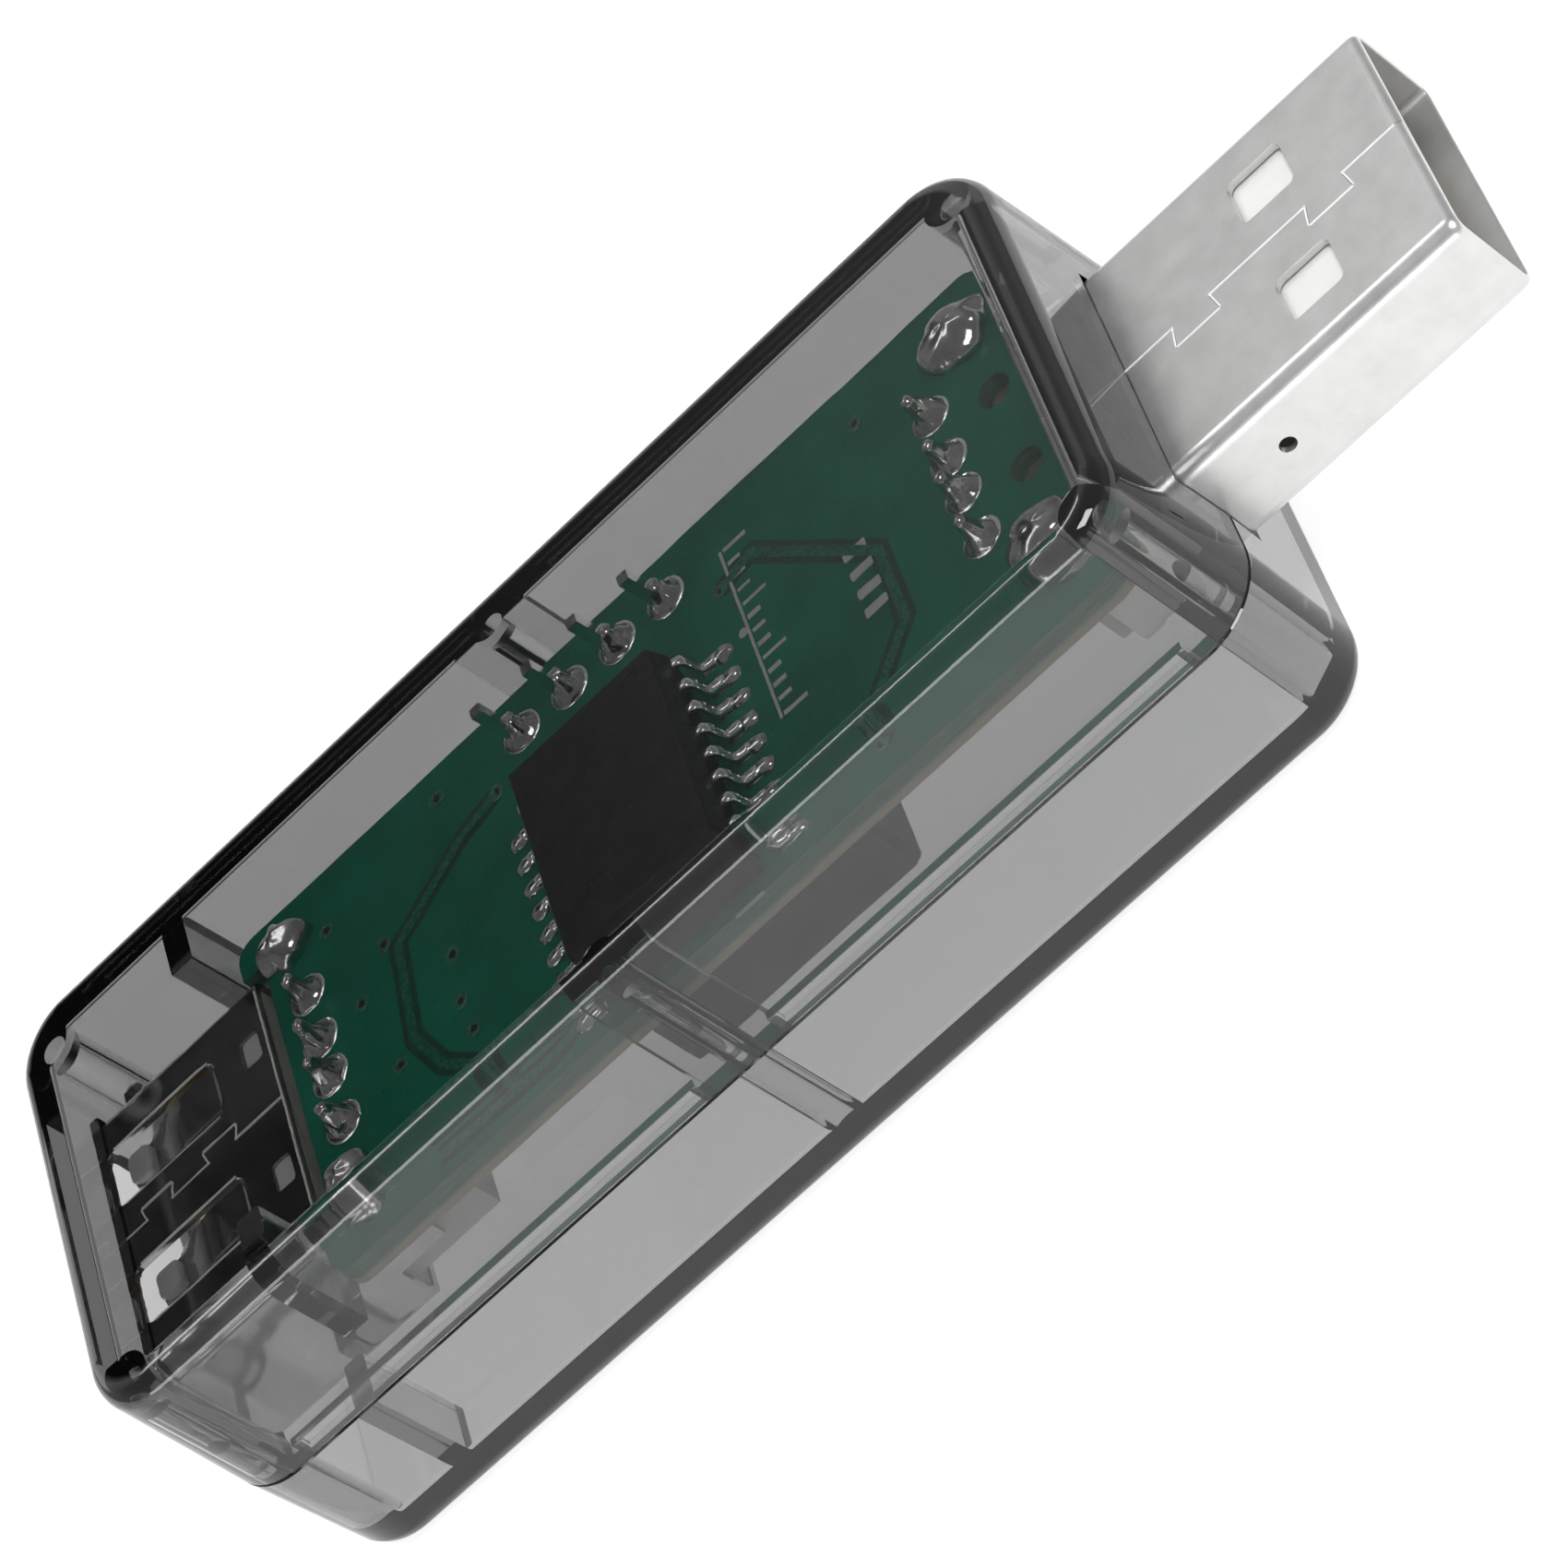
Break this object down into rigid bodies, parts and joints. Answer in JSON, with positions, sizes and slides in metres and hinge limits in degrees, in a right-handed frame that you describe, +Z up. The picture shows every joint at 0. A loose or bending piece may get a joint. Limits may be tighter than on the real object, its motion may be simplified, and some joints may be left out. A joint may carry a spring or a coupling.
{
  "type": "usb dongle with board in a two-shell translucent case",
  "caption": "Dongle with a board in a smoked see-through snap case, a metal plug at one end, a sprung socket at the other, an isolator chip and a converter module.",
  "frame": {"origin": "middle of the case's flat bottom face", "axes": "+X along the length toward the plug's tip, +Y across the width, +Z up from the bottom shell toward the chip side"},
  "size_m": [0.0649, 0.0216, 0.0145],
  "materials": {
    "smoked_shell": "smoked see-through polycarbonate, polished",
    "board_green": "green solder mask on glass-fibre laminate",
    "plug_nickel": "satin nickel-plated steel sheet",
    "socket_nickel": "nickel-plated steel sheet",
    "spring_nickel": "nickel-plated spring sheet",
    "white_insulator": "white moulded nylon",
    "contact_gold": "gold-flashed contact strip",
    "chip_epoxy": "black moulded epoxy",
    "lead_tin": "tin-plated lead frame",
    "module_epoxy": "black potted module body",
    "capacitor_ceramic": "fired ceramic capacitor body",
    "resistor_body": "dark glazed resistor body"
  },
  "bodies": {
    "base": {"lower_shell": "smoked_shell", "board": "board_green", "plug_shell": "plug_nickel", "plug_insulator": "white_insulator", "socket_shell": "socket_nickel", "socket_insulator": "white_insulator", "isolator_chip": "chip_epoxy", "converter_module": "module_epoxy", "plug_contact_1": "contact_gold", "plug_contact_2": "contact_gold", "plug_contact_3": "contact_gold", "plug_contact_4": "contact_gold", "socket_contact_1": "contact_gold", "socket_contact_2": "contact_gold", "socket_contact_3": "contact_gold", "socket_contact_4": "contact_gold", "chip_lead_01": "lead_tin", "chip_lead_02": "lead_tin", "chip_lead_03": "lead_tin", "chip_lead_04": "lead_tin", "chip_lead_05": "lead_tin", "chip_lead_06": "lead_tin", "chip_lead_07": "lead_tin", "chip_lead_08": "lead_tin", "chip_lead_09": "lead_tin", "chip_lead_10": "lead_tin", "chip_lead_11": "lead_tin", "chip_lead_12": "lead_tin", "chip_lead_13": "lead_tin", "chip_lead_14": "lead_tin", "chip_lead_15": "lead_tin", "chip_lead_16": "lead_tin", "module_pin_1": "lead_tin", "module_pin_2": "lead_tin", "module_pin_3": "lead_tin", "module_pin_4": "lead_tin", "tank_capacitor": "capacitor_ceramic", "input_capacitor": "capacitor_ceramic", "output_capacitor": "capacitor_ceramic", "line_resistor_1": "resistor_body", "line_resistor_2": "resistor_body", "line_resistor_3": "resistor_body", "line_resistor_4": "resistor_body"},
    "cover": {"upper_shell": "smoked_shell"},
    "spring_1": {"socket_spring_1": "spring_nickel"},
    "spring_2": {"socket_spring_2": "spring_nickel"},
    "spring_3": {"socket_spring_3": "spring_nickel"},
    "spring_4": {"socket_spring_4": "spring_nickel"}
  },
  "joints": [
    {"name": "cover_lift", "type": "slide", "parent": "base", "child": "cover", "axis": [0, 0, 1], "range_m": [0, 0.02]},
    {"name": "spring_1_flex", "type": "hinge", "parent": "base", "child": "spring_1", "pos_m": [-0.0187, 0.00313, 0.0108], "axis": [0, 1, 0], "range_deg": [0, 5], "stiffness_Nm_per_rad": 0.05},
    {"name": "spring_2_flex", "type": "hinge", "parent": "base", "child": "spring_2", "pos_m": [-0.0187, -0.00313, 0.0108], "axis": [0, 1, 0], "range_deg": [0, 5], "stiffness_Nm_per_rad": 0.05},
    {"name": "spring_3_flex", "type": "hinge", "parent": "base", "child": "spring_3", "pos_m": [-0.0187, 0.00313, 0.00538], "axis": [0, -1, 0], "range_deg": [0, 5], "stiffness_Nm_per_rad": 0.05},
    {"name": "spring_4_flex", "type": "hinge", "parent": "base", "child": "spring_4", "pos_m": [-0.0187, -0.00313, 0.00538], "axis": [0, -1, 0], "range_deg": [0, 5], "stiffness_Nm_per_rad": 0.05}
  ]
}
